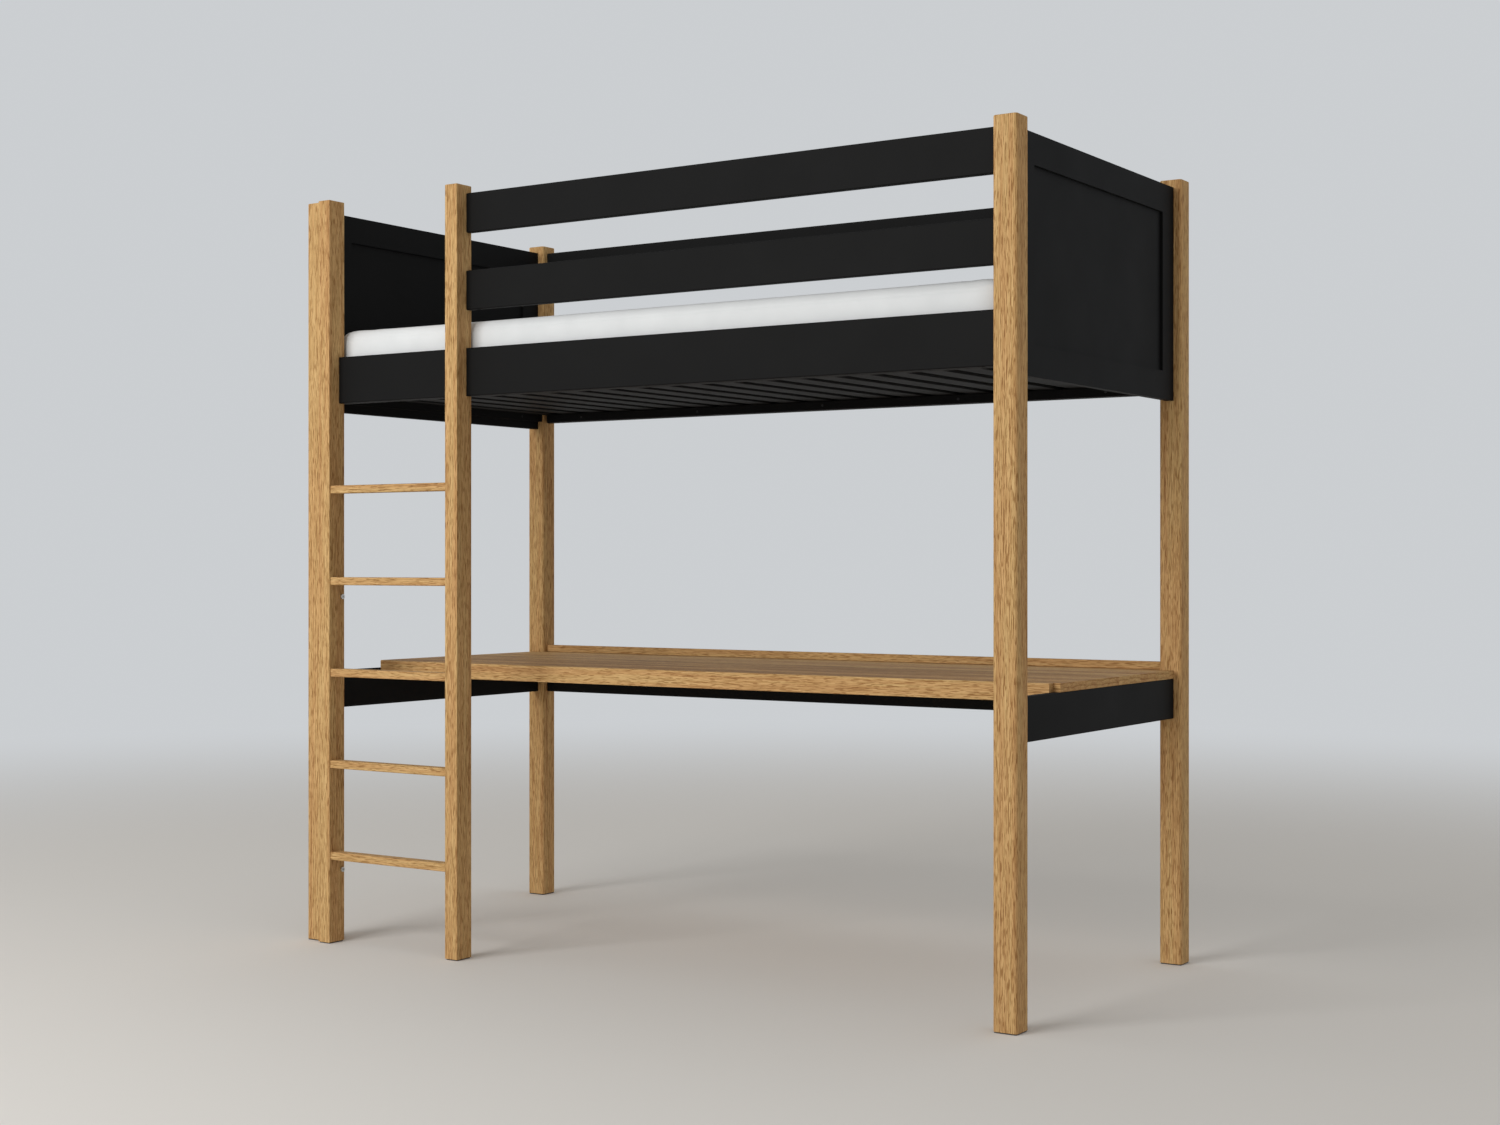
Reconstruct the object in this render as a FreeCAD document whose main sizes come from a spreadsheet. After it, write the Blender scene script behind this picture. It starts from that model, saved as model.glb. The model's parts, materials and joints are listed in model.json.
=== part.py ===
"""Loft bed with a desk underneath and a front ladder, as a parametric FreeCAD document.

Frame: +X along the bed, from the ladder end to the far end; +Y from the ladder side to the back;
+Z up.  The origin is on the floor, at the middle of the footprint.  All sizes are in millimetres.
"""
import FreeCAD, Part
import os
import re

doc = FreeCAD.newDocument("loft_bed_with_desk")

# ---------------------------------------------------------------------------------------
# Driving dimensions
# ---------------------------------------------------------------------------------------
SIZES = [
    ("bed_length", 2088, "over the outer faces of the posts, along X"),
    ("bed_width", 984, "post fronts to post backs, along Y"),
    ("bed_height", 1960, "floor to post tops"),
    ("post_side", 58, "square section of a post"),
    ("post_round", 8, "radius on a post's upright edges"),
    ("end_ease", 1.5, "bevel at the tops of posts and ladder stiles"),
    ("glide_height", 3, "pad under each leg"),
    ("glide_inset", 3, "pad edge behind the leg's face"),
    ("glide_pin_radius", 2.5, "pin that holds the pad in the leg"),
    ("glide_pin_length", 14, "pin above the pad"),
    ("rail_thick", 20, "side rails, guard rails and back desk rail"),
    ("rail_inset", 19, "rail face behind the post's outer face"),
    ("rail_ease", 3, "radius on the long edges of rails"),
    ("guard_height", 100, "depth of a guard rail"),
    ("guard_drop", 20, "post tops above the upper guard rails and end panels"),
    ("guard_gap", 96, "between the upper and the lower guard rail"),
    ("side_rail_height", 122, "depth of a side rail"),
    ("side_rail_top", 1548, "top edge of the side rails above the floor"),
    ("panel_thick", 18, "end panel frames and desk end rails"),
    ("panel_inset", 20, "panel face behind the post's outer face"),
    ("panel_height", 532, "end panel, top to bottom"),
    ("panel_frame", 70, "width of a panel's frame members"),
    ("infill_thick", 5, "flat panel held in the frame's grooves"),
    ("groove_depth", 10, "groove in the frame members"),
    ("groove_gap", 0.2, "running gap on each side of the infill and its tongues"),
    ("ledger_depth", 20, "strip under the slat ends, from the side rail inwards"),
    ("ledger_height", 24, "its height"),
    ("ledger_end_gap", 14, "post to ledger end"),
    ("cleat_depth", 16, "strip on each end panel, from the panel inwards"),
    ("cleat_height", 20, "its height"),
    ("slat_count", 21, "slats along the bed"),
    ("slat_width", 60, "one slat"),
    ("slat_thick", 18, "one slat"),
    ("slat_ease", 2, "radius on a slat's long edges"),
    ("slat_end_gap", 2, "gap round the row of slats"),
    ("stile_width", 40, "ladder stile, along X"),
    ("stile_proud", 17, "ladder stile in front of the post faces"),
    ("stile_ease", 1.5, "radius on a stile's upright edges"),
    ("ladder_clear", 402, "between the ladder stiles"),
    ("rung_count", 5, "rungs"),
    ("rung_thick", 21, "height of a rung"),
    ("rung_depth", 32, "front to back"),
    ("rung_ease", 3, "radius on a rung's long edges"),
    ("rung_setback", 4, "rung front behind the stile front"),
    ("rung_first_top", 242, "top of the lowest rung above the floor"),
    ("rung_pitch", 241.3, "rung to rung"),
    ("rung_tenon", 14, "tenon into each stile"),
    ("rung_shoulder", 3, "step from the rung to its tenon"),
    ("desk_height", 735, "desk surface above the floor"),
    ("desk_depth", 704, "front of the lipping to the front of the upstand"),
    ("desk_thick", 20, "desk board"),
    ("desk_rail_height", 100, "rails that carry the desk"),
    ("lipping_thick", 20, "strip along the desk's front edge"),
    ("lipping_height", 42, "its height"),
    ("upstand_height", 20, "strip standing on the desk's back edge"),
    ("mattress_end_gap", 6, "end panel to mattress"),
    ("mattress_side_gap", 3, "side rail to mattress"),
    ("mattress_thick", 157, "mattress"),
    ("mattress_round", 32, "radius on its upper and lower edges"),
    ("mattress_rest", 0.3, "under the mattress"),
    ("fit_gap", 0.3, "gap round notches, tenons and pins"),
    ("drill_gap", 0.2, "radial gap of a drilled hole"),
    ("drill_over", 2, "extra depth of a blind hole"),
    ("stud_radius", 3, "connector stud"),
    ("stud_bite", 24, "length of the stud in the post"),
    ("stud_reach", 44, "length of the stud in the rail"),
    ("nut_radius", 5, "barrel nut"),
    ("nut_length", 14, "barrel nut"),
    ("nut_back", 34, "barrel nut's axis from the rail's end"),
    ("nut_rise", 28, "connector stud above the rail's lower edge"),
    ("dowel_radius", 4, "wooden dowel"),
    ("dowel_bite", 18, "length of a rail dowel on each side of the joint"),
    ("dowel_margin", 16, "top dowel below the rail's upper edge"),
    ("desk_dowel_bite", 14, "dowel in the desk board, lipping or rail, each side"),
    ("desk_dowel_margin", 90, "end dowels from the ends of the desk's edges"),
    ("upstand_dowel_radius", 3, "dowels under the upstand"),
    ("upstand_dowel_bite", 12, "each side of that joint"),
    ("upstand_dowel_shift", 60, "from the desk dowels, along X"),
    ("ladder_bolt_radius", 4, "bolts through the left stile into the post"),
    ("ladder_bolt_low", 191, "lower bolt above the floor"),
    ("ladder_bolt_high", 914, "upper bolt above the floor"),
    ("bolt_head_radius", 6.5, "its head"),
    ("bolt_head_height", 5, "its head"),
    ("bolt_socket_radius", 3.2, "hexagon socket, across the corners"),
    ("bolt_socket_depth", 3, "hexagon socket"),
    ("insert_radius", 6, "threaded insert in the post"),
    ("insert_length", 22, "threaded insert"),
    ("screw_radius", 2, "wood screw"),
    ("screw_head_radius", 3.5, "its head"),
    ("screw_head_height", 2.5, "its head"),
    ("screw_tip", 4, "its point"),
    ("slat_screw_length", 36, "slat to ledger"),
    ("slat_screw_shift", 15, "from the slat's middle, along X"),
    ("ledger_screw_length", 35, "ledger to side rail"),
    ("ledger_screw_step", 4.32, "ledger screws apart, in slat pitches, to miss the slat screws"),
    ("cleat_screw_length", 26, "cleat to panel frame"),
    ("cleat_screw_margin", 24, "end cleat screws inside the panel frame's uprights"),
    ("stile_screw_length", 48, "side rail to ladder stile"),
    ("stile_screw_spread", 20, "above and below the middle of the side rail"),
]

sheet = doc.addObject("Spreadsheet::Sheet", "sizes")
for row, (alias, size, note) in enumerate(SIZES, start=1):
    sheet.set(f"A{row}", note)
    sheet.set(f"B{row}", str(size))
    sheet.setAlias(f"B{row}", alias)
doc.recompute()

# A formula is text in the sheet's own words.  These are the places that many pieces share.
LEFT = "(0 - bed_length / 2)"
RIGHT = "(bed_length / 2)"
FRONT = "((stile_proud - bed_width) / 2)"
BACK = "((stile_proud + bed_width) / 2)"
POST_LEFT = f"({LEFT} + post_side)"
POST_RIGHT = f"({RIGHT} - post_side)"
POST_FRONT = f"({FRONT} + post_side)"
POST_BACK = f"({BACK} - post_side)"
LEG = "(bed_height - glide_height)"

RAIL_FRONT = f"({FRONT} + rail_inset)"
RAIL_BACK = f"({BACK} - rail_inset - rail_thick)"
BAY_FRONT = f"({RAIL_FRONT} + rail_thick)"
BAY_WIDTH = "(bed_width - 2 * rail_inset - 2 * rail_thick)"
BAY_LEFT = f"({LEFT} + panel_inset + panel_thick)"
BAY_RIGHT = f"({RIGHT} - panel_inset - panel_thick)"
BAY_LENGTH = "(bed_length - 2 * panel_inset - 2 * panel_thick)"
SPAN_X = "(bed_length - 2 * post_side)"
SPAN_Y = "(bed_width - 2 * post_side)"

GUARD_TOP = "(bed_height - guard_drop)"
UPPER_GUARD = f"({GUARD_TOP} - guard_height)"
LOWER_GUARD = f"({UPPER_GUARD} - guard_gap - guard_height)"
SIDE_RAIL = "(side_rail_top - side_rail_height)"
SLAT_SEAT = f"({SIDE_RAIL} + ledger_height)"
PANEL_BOTTOM = f"({GUARD_TOP} - panel_height)"
STILE_FRONT = f"({FRONT} - stile_proud)"
STILE_DEPTH = "(stile_proud + rail_inset + rail_thick)"
STILE_RIGHT = f"({POST_LEFT} + stile_width + ladder_clear)"
DESK_SEAT = "(desk_height - desk_thick)"
DESK_RAIL = f"({DESK_SEAT} - desk_rail_height)"
DESK_FRONT = f"({RAIL_BACK} - desk_depth)"
RAIL_MID_FRONT = f"({RAIL_FRONT} + rail_thick / 2)"
RAIL_MID_BACK = f"({RAIL_BACK} + rail_thick / 2)"
PANEL_MID_LEFT = f"({LEFT} + panel_inset + panel_thick / 2)"
PANEL_MID_RIGHT = f"({RIGHT} - panel_inset - panel_thick / 2)"


# ---------------------------------------------------------------------------------------
# Helpers
# ---------------------------------------------------------------------------------------
SHEET_WORD = re.compile(r"[a-z][a-z0-9_]*")
pieces = {}

probe = doc.addObject("Part::Vertex", "probe")


def ref(formula):
    """Return the formula as a FreeCAD expression that points at the sheet's cells."""
    return SHEET_WORD.sub(lambda word: "sizes." + word.group(0), formula)


def bind(item, name, formula):
    """Tie one property of an object to a formula."""
    item.setExpression(name, ref(formula))


def value(formula):
    """Return what a formula comes to now."""
    bind(probe, "X", formula)
    probe.recompute()
    return float(probe.X.Value)


def place(item, corner):
    """Tie an object's place to three formulas."""
    for axis, formula in zip("xyz", corner):
        bind(item, f"Placement.Base.{axis}", formula)


def origin_plane(body, role):
    """Return one of the body's own origin planes."""
    for feature in body.Origin.OriginFeatures:
        if feature.Role == role:
            return feature
    raise RuntimeError(f"{body.Label} has no {role}")


def tie(sketch, kind, where, formula):
    """Add a dimension to a sketch and tie it to a formula."""
    index = sketch.addConstraint(Sketcher.Constraint(kind, *where, value(formula)))
    sketch.setExpression(f"Constraints[{index}]", ref(formula))


def draw_rectangle(sketch, start, size):
    """Draw a rectangle whose low corner and sides are formulas in the sketch's own axes."""
    low = FreeCAD.Vector(value(start[0]), value(start[1]), 0)
    high = low + FreeCAD.Vector(value(size[0]), value(size[1]), 0)
    corners = [low, FreeCAD.Vector(high.x, low.y, 0), high, FreeCAD.Vector(low.x, high.y, 0)]
    lines = []
    for index in range(4):
        segment = Part.LineSegment(corners[index], corners[(index + 1) % 4])
        lines.append(sketch.addGeometry(segment, False))
    for index in range(4):
        sketch.addConstraint(
            Sketcher.Constraint("Coincident", lines[index], 2, lines[(index + 1) % 4], 1))
    for index in range(4):
        kind = "Horizontal" if index % 2 == 0 else "Vertical"
        sketch.addConstraint(Sketcher.Constraint(kind, lines[index]))
    tie(sketch, "DistanceX", (lines[0], 1, lines[0], 2), size[0])
    tie(sketch, "DistanceY", (lines[1], 1, lines[1], 2), size[1])
    tie(sketch, "DistanceX", (-1, 1, lines[0], 1), start[0])
    tie(sketch, "DistanceY", (-1, 1, lines[0], 1), start[1])


def draw_circle(sketch, centre, radius):
    """Draw a circle whose centre and radius are formulas."""
    middle = FreeCAD.Vector(value(centre[0]), value(centre[1]), 0)
    circle = sketch.addGeometry(
        Part.Circle(middle, FreeCAD.Vector(0, 0, 1), value(radius)), False)
    tie(sketch, "Radius", (circle,), radius)
    tie(sketch, "DistanceX", (-1, 1, circle, 3), centre[0])
    tie(sketch, "DistanceY", (-1, 1, circle, 3), centre[1])


def block(label, size, corner):
    """Make a piece as a body: a rectangle on XY, padded up, with its low corner at its own origin."""
    body = doc.addObject("PartDesign::Body", label)
    body.Label = label
    outline = body.newObject("Sketcher::SketchObject", f"{label}_outline")
    outline.AttachmentSupport = [(origin_plane(body, "XY_Plane"), "")]
    outline.MapMode = "FlatFace"
    draw_rectangle(outline, ("0", "0"), size[:2])
    pad = body.newObject("PartDesign::Pad", f"{label}_pad")
    pad.Profile = outline
    bind(pad, "Length", size[2])
    place(body, corner)
    doc.recompute()
    pieces[label] = {"body": body, "size": size, "corner": corner, "cuts": 0}
    return body


def edges_along(shape, axes):
    """Name the straight edges that run along any of the given axes."""
    names = []
    for index, edge in enumerate(shape.Edges, start=1):
        if edge.Curve.TypeId != "Part::GeomLine":
            continue
        run = edge.tangentAt(edge.FirstParameter)
        if any(abs(getattr(run, axis)) > 0.999 for axis in axes):
            names.append(f"Edge{index}")
    return names


def ease(label, axes, radius):
    """Round the edges that run along the given axes."""
    body = pieces[label]["body"]
    base = body.Tip
    fillet = body.newObject("PartDesign::Fillet", f"{label}_ease")
    fillet.Base = (base, edges_along(base.Shape, axes))
    bind(fillet, "Radius", radius)
    doc.recompute()


def edges_at(shape, heights):
    """Name the edges that lie flat at any of the given heights."""
    names = []
    for index, edge in enumerate(shape.Edges, start=1):
        low, high = edge.BoundBox.ZMin, edge.BoundBox.ZMax
        if any(max(abs(low - height), abs(high - height)) < 1e-6 for height in heights):
            names.append(f"Edge{index}")
    return names


def bevel_top(label, width):
    """Bevel the outline of the top face."""
    body = pieces[label]["body"]
    base = body.Tip
    chamfer = body.newObject("PartDesign::Chamfer", f"{label}_bevel")
    chamfer.Base = (base, edges_at(base.Shape, [base.Shape.BoundBox.ZMax]))
    bind(chamfer, "Size", width)
    doc.recompute()


def round_outline(label, radius):
    """Round the outlines of the top and bottom faces."""
    body = pieces[label]["body"]
    base = body.Tip
    box = base.Shape.BoundBox
    fillet = body.newObject("PartDesign::Fillet", f"{label}_outline_round")
    fillet.Base = (base, edges_at(base.Shape, [box.ZMin, box.ZMax]))
    bind(fillet, "Radius", radius)
    doc.recompute()


# face: sketch plane, the two axes of the sketch, the axis of the cut, far side?, sign of the
# plane's normal along that axis
FACES = {
    "+X": ("YZ_Plane", (1, 2), 0, True, 1),
    "-X": ("YZ_Plane", (1, 2), 0, False, 1),
    "+Y": ("XZ_Plane", (0, 2), 1, True, -1),
    "-Y": ("XZ_Plane", (0, 2), 1, False, -1),
    "+Z": ("XY_Plane", (0, 1), 2, True, 1),
    "-Z": ("XY_Plane", (0, 1), 2, False, 1),
}


def cut(label, face, depth, circles=(), rectangles=()):
    """Pocket circles and rectangles into one face of a piece.

    Centres and corners are formulas in the bed's frame, along the face's two axes.
    A circle is (u, v, radius); a rectangle is (u, v, width, height).
    """
    piece = pieces[label]
    body = piece["body"]
    corner = piece["corner"]
    role, (u_axis, v_axis), axis, far_side, normal = FACES[face]
    base = body.Tip
    piece["cuts"] += 1
    name = f"{label}_cut_{piece['cuts']}"
    sketch = body.newObject("Sketcher::SketchObject", f"{name}_sketch")
    sketch.AttachmentSupport = [(origin_plane(body, role), "")]
    sketch.MapMode = "FlatFace"
    if far_side:
        sign = "" if normal > 0 else "0 - "
        bind(sketch, "AttachmentOffset.Base.z", f"{sign}({piece['size'][axis]})")
    for u, v, radius in circles:
        centre = (f"({u}) - ({corner[u_axis]})", f"({v}) - ({corner[v_axis]})")
        draw_circle(sketch, centre, radius)
    for u, v, width, height in rectangles:
        start = (f"({u}) - ({corner[u_axis]})", f"({v}) - ({corner[v_axis]})")
        draw_rectangle(sketch, start, (width, height))
    pocket = body.newObject("PartDesign::Pocket", name)
    pocket.Profile = sketch
    bind(pocket, "Length", depth)
    # A pocket runs against its sketch's normal, and it has to run into the piece.
    pocket.Reversed = far_side != (normal > 0)
    before = base.Shape.Volume
    doc.recompute()
    if pocket.Shape.isNull() or pocket.Shape.Volume >= before - 1e-3:
        raise RuntimeError(f"{name} cuts nothing")


def group(label, master, spots):
    """Make one node of separate copies: each spot is a place and a rotation."""
    links = []
    for index, (corner, rotation) in enumerate(spots, start=1):
        link = doc.addObject("App::Link", f"{label}_{index}")
        link.LinkedObject = master
        link.Placement = FreeCAD.Placement(FreeCAD.Vector(), rotation)
        place(link, corner)
        links.append(link)
    compound = doc.addObject("Part::Compound", label)
    compound.Label = label
    compound.Links = links
    pieces[label] = {"body": compound}


def cylinder(name, radius, length, start="0"):
    """Make a cylinder along its own +Z."""
    item = doc.addObject("Part::Cylinder", name)
    bind(item, "Radius", radius)
    bind(item, "Height", length)
    bind(item, "Placement.Base.z", start)
    return item


def boolean(kind, name, base, tool):
    """Make a Part::Cut or a Part::Fuse."""
    item = doc.addObject(f"Part::{kind}", name)
    item.Base = base
    item.Tool = tool
    return item


Z_AXIS = FreeCAD.Vector(0, 0, 1)
TURN = {
    "+X": FreeCAD.Rotation(Z_AXIS, FreeCAD.Vector(1, 0, 0)),
    "-X": FreeCAD.Rotation(Z_AXIS, FreeCAD.Vector(-1, 0, 0)),
    "+Y": FreeCAD.Rotation(Z_AXIS, FreeCAD.Vector(0, 1, 0)),
    "-Y": FreeCAD.Rotation(Z_AXIS, FreeCAD.Vector(0, -1, 0)),
    "+Z": FreeCAD.Rotation(),
    "-Z": FreeCAD.Rotation(FreeCAD.Vector(1, 0, 0), 180),
}
FLIP = {"+X": "-X", "-X": "+X", "+Y": "-Y", "-Y": "+Y", "+Z": "-Z", "-Z": "+Z"}

# Sketcher is one of FreeCAD's own modules and has to come after FreeCAD itself.
import Sketcher

# ---------------------------------------------------------------------------------------
# Posts and ladder
# ---------------------------------------------------------------------------------------
POST_CORNERS = {
    "post_front_left": (LEFT, FRONT),
    "post_front_right": (POST_RIGHT, FRONT),
    "post_back_left": (LEFT, POST_BACK),
    "post_back_right": (POST_RIGHT, POST_BACK),
}
for label, (x, y) in POST_CORNERS.items():
    block(label, ("post_side", "post_side", LEG), (x, y, "glide_height"))
    ease(label, "z", "post_round")
    bevel_top(label, "end_ease")

for label, x in (("ladder_stile_left", POST_LEFT), ("ladder_stile_right", STILE_RIGHT)):
    block(label, ("stile_width", STILE_DEPTH, LEG), (x, STILE_FRONT, "glide_height"))
    ease(label, "z", "stile_ease")
    bevel_top(label, "end_ease")
    # The side rail lies in a notch in the back of the stile.
    notch = (x + " - 1", f"{SIDE_RAIL} - fit_gap", "stile_width + 2", "side_rail_height + 2 * fit_gap")
    cut(label, "+Y", "rail_thick", rectangles=[notch])

RUNG_FRONT = f"({STILE_FRONT} + rung_setback)"
RUNG_START = f"({POST_LEFT} + stile_width - rung_tenon)"
RUNG_LENGTH = "(ladder_clear + 2 * rung_tenon)"
rung_bottoms = []
for index in range(round(value("rung_count"))):
    bottom = f"(rung_first_top - rung_thick + {index} * rung_pitch)"
    rung_bottoms.append(bottom)
    label = f"ladder_rung_{index + 1}"
    block(label, (RUNG_LENGTH, "rung_depth", "rung_thick"), (RUNG_START, RUNG_FRONT, bottom))
    ease(label, "x", "rung_ease")
    tenons = [f"{RUNG_START} - 1", f"{RUNG_START} + ladder_clear + rung_tenon"]
    for face, v, height in (
        ("-Y", f"{bottom} - 1", "rung_thick + 2"),
        ("+Y", f"{bottom} - 1", "rung_thick + 2"),
        ("-Z", f"{RUNG_FRONT} - 1", "rung_depth + 2"),
        ("+Z", f"{RUNG_FRONT} - 1", "rung_depth + 2"),
    ):
        cut(label, face, "rung_shoulder", rectangles=[(u, v, "rung_tenon + 1", height) for u in tenons])

mortises = [
    (f"{RUNG_FRONT} + rung_shoulder - fit_gap", f"{bottom} + rung_shoulder - fit_gap",
     "rung_depth - 2 * rung_shoulder + 2 * fit_gap", "rung_thick - 2 * rung_shoulder + 2 * fit_gap")
    for bottom in rung_bottoms
]
cut("ladder_stile_left", "+X", "rung_tenon + fit_gap", rectangles=mortises)
cut("ladder_stile_right", "-X", "rung_tenon + fit_gap", rectangles=mortises)

# ---------------------------------------------------------------------------------------
# Rails
# ---------------------------------------------------------------------------------------
GUARD_START = f"({STILE_RIGHT} + stile_width)"
GUARD_LENGTH = f"({POST_RIGHT} - {GUARD_START})"
RAILS = {
    "side_rail_front": (POST_LEFT, RAIL_FRONT, SIDE_RAIL, SPAN_X, "side_rail_height"),
    "side_rail_back": (POST_LEFT, RAIL_BACK, SIDE_RAIL, SPAN_X, "side_rail_height"),
    "guard_rail_front_upper": (GUARD_START, RAIL_FRONT, UPPER_GUARD, GUARD_LENGTH, "guard_height"),
    "guard_rail_front_lower": (GUARD_START, RAIL_FRONT, LOWER_GUARD, GUARD_LENGTH, "guard_height"),
    "guard_rail_back_upper": (POST_LEFT, RAIL_BACK, UPPER_GUARD, SPAN_X, "guard_height"),
    "guard_rail_back_lower": (POST_LEFT, RAIL_BACK, LOWER_GUARD, SPAN_X, "guard_height"),
    "desk_rail_back": (POST_LEFT, RAIL_BACK, DESK_RAIL, SPAN_X, "desk_rail_height"),
}
for label, (x, y, z, length, height) in RAILS.items():
    block(label, (length, "rail_thick", height), (x, y, z))
    ease(label, "x", "rail_ease")

for side, x in (("left", f"{LEFT} + panel_inset"), ("right", f"{RIGHT} - panel_inset - panel_thick")):
    label = f"desk_rail_{side}"
    block(label, ("panel_thick", SPAN_Y, "desk_rail_height"), (x, POST_FRONT, DESK_RAIL))
    ease(label, "y", "rail_ease")

# ---------------------------------------------------------------------------------------
# End panels: a grooved frame round a thin flat panel
# ---------------------------------------------------------------------------------------
GROOVE_WIDTH = "(infill_thick + 2 * groove_gap)"
CHEEK = "((panel_thick - infill_thick) / 2)"
TENON = "(groove_depth - groove_gap)"
OPEN_Y = f"({POST_FRONT} + panel_frame)"
OPEN_WIDTH = f"({SPAN_Y} - 2 * panel_frame)"
TENON_START = f"({OPEN_Y} - {TENON})"
TENON_LENGTH = f"({OPEN_WIDTH} + 2 * {TENON})"
PANEL_STILE_BACK = f"({POST_BACK} - panel_frame)"
for side, x in (("left", f"({LEFT} + panel_inset)"), ("right", f"({RIGHT} - panel_inset - panel_thick)")):
    groove_x = f"{x} + {CHEEK} - groove_gap"
    upright = ("panel_thick", "panel_frame", "panel_height")
    front = f"{side}_panel_stile_front"
    back = f"{side}_panel_stile_back"
    block(front, upright, (x, POST_FRONT, PANEL_BOTTOM))
    block(back, upright, (x, PANEL_STILE_BACK, PANEL_BOTTOM))
    groove = [(groove_x, f"{PANEL_BOTTOM} - 1", GROOVE_WIDTH, "panel_height + 2")]
    cut(front, "+Y", "groove_depth", rectangles=groove)
    cut(back, "-Y", "groove_depth", rectangles=groove)
    lower = f"{side}_panel_bottom_rail"
    upper = f"{side}_panel_top_rail"
    for label, z, groove_face in (
        (lower, PANEL_BOTTOM, "+Z"),
        (upper, f"({GUARD_TOP} - panel_frame)", "-Z"),
    ):
        block(label, ("panel_thick", TENON_LENGTH, "panel_frame"), (x, TENON_START, z))
        tongue_ends = [f"{TENON_START} - 1", f"{TENON_START} + {OPEN_WIDTH} + {TENON}"]
        for face in ("-X", "+X"):
            shoulders = [(u, f"{z} - 1", f"{TENON} + 1", "panel_frame + 2") for u in tongue_ends]
            cut(label, face, CHEEK, rectangles=shoulders)
        groove = [(groove_x, f"{TENON_START} - 1", GROOVE_WIDTH, f"{TENON_LENGTH} + 2")]
        cut(label, groove_face, "groove_depth", rectangles=groove)
    block(
        f"{side}_panel_infill",
        ("infill_thick", f"({OPEN_WIDTH} + 2 * {TENON})",
         f"(panel_height - 2 * panel_frame + 2 * {TENON})"),
        (f"({x} + {CHEEK})", TENON_START, f"({PANEL_BOTTOM} + panel_frame - {TENON})"))

# ---------------------------------------------------------------------------------------
# Slats, the strips that carry them, and the mattress
# ---------------------------------------------------------------------------------------
LEDGER_START = f"({POST_LEFT} + ledger_end_gap)"
LEDGER_LENGTH = f"({SPAN_X} - 2 * ledger_end_gap)"
LEDGER_BACK = f"({RAIL_BACK} - ledger_depth)"
for label, y in (("slat_ledger_front", BAY_FRONT), ("slat_ledger_back", LEDGER_BACK)):
    block(label, (LEDGER_LENGTH, "ledger_depth", "ledger_height"), (LEDGER_START, y, SIDE_RAIL))
    ease(label, "x", "end_ease")

CLEAT_BOTTOM = f"({SLAT_SEAT} - cleat_height)"
for label, x in (("slat_cleat_left", BAY_LEFT), ("slat_cleat_right", f"({BAY_RIGHT} - cleat_depth)")):
    block(label, ("cleat_depth", SPAN_Y, "cleat_height"), (x, POST_FRONT, CLEAT_BOTTOM))

slats = round(value("slat_count"))
SLAT_LEFT = f"({BAY_LEFT} + slat_end_gap)"
SLAT_PITCH = f"(({BAY_LENGTH} - 2 * slat_end_gap - slat_width) / (slat_count - 1))"
SLAT_FRONT = f"({BAY_FRONT} + slat_end_gap)"
SLAT_LENGTH = f"({BAY_WIDTH} - 2 * slat_end_gap)"
SLAT_SIZE = ("slat_width", SLAT_LENGTH, "slat_thick")


def slat_x(index):
    """Left edge of one slat."""
    return f"({SLAT_LEFT} + {index} * {SLAT_PITCH})"


def slat_screws(index):
    """Centres of a slat's two screws, on X and Y; the last slat's are kept clear of the posts."""
    way = "-" if index == slats - 1 else "+"
    x = f"{slat_x(index)} + slat_width / 2 {way} slat_screw_shift"
    return [(x, f"({BAY_FRONT} + ledger_depth / 2)"), (x, f"({RAIL_BACK} - ledger_depth / 2)")]


SHANK = "screw_radius + drill_gap"
HEAD = "screw_head_radius + drill_gap"


def bore_slat(label, index):
    """Bore a slat for its screws and their heads."""
    spots = slat_screws(index)
    cut(label, "+Z", "slat_thick + 1", circles=[(x, y, SHANK) for x, y in spots])
    cut(label, "+Z", "screw_head_height", circles=[(x, y, HEAD) for x, y in spots])


# The two end slats are notched round the posts.
for label, index, corner_x in (
    ("end_slat_left", 0, f"{LEFT}"),
    ("end_slat_right", slats - 1, f"({POST_RIGHT} - fit_gap)"),
):
    block(label, SLAT_SIZE, (slat_x(index), SLAT_FRONT, SLAT_SEAT))
    ease(label, "y", "slat_ease")
    width = "post_side + fit_gap"
    notches = [
        (corner_x, FRONT, width, "post_side + fit_gap"),
        (corner_x, f"{POST_BACK} - fit_gap", width, "post_side + fit_gap"),
    ]
    cut(label, "+Z", "slat_thick + 1", rectangles=notches)
    bore_slat(label, index)

block("slat_pattern", SLAT_SIZE, (slat_x(1), SLAT_FRONT, SLAT_SEAT))
ease("slat_pattern", "y", "slat_ease")
bore_slat("slat_pattern", 1)
slat_master = pieces.pop("slat_pattern")["body"]
middle = [((slat_x(index), SLAT_FRONT, SLAT_SEAT), FreeCAD.Rotation()) for index in range(1, slats - 1)]
group("bed_slats", slat_master, middle)

# The mattress's corners are rounded enough in plan to clear the posts' inner corners.
POST_REACH = "(post_side - rail_inset - rail_thick - mattress_side_gap)"
block(
    "mattress",
    (f"({BAY_LENGTH} - 2 * mattress_end_gap)", f"({BAY_WIDTH} - 2 * mattress_side_gap)",
     "mattress_thick"),
    (f"({BAY_LEFT} + mattress_end_gap)", f"({BAY_FRONT} + mattress_side_gap)",
     f"({SLAT_SEAT} + slat_thick + mattress_rest)"))
ease("mattress", "z", f"3.75 * {POST_REACH}")
round_outline("mattress", "mattress_round")

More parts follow.
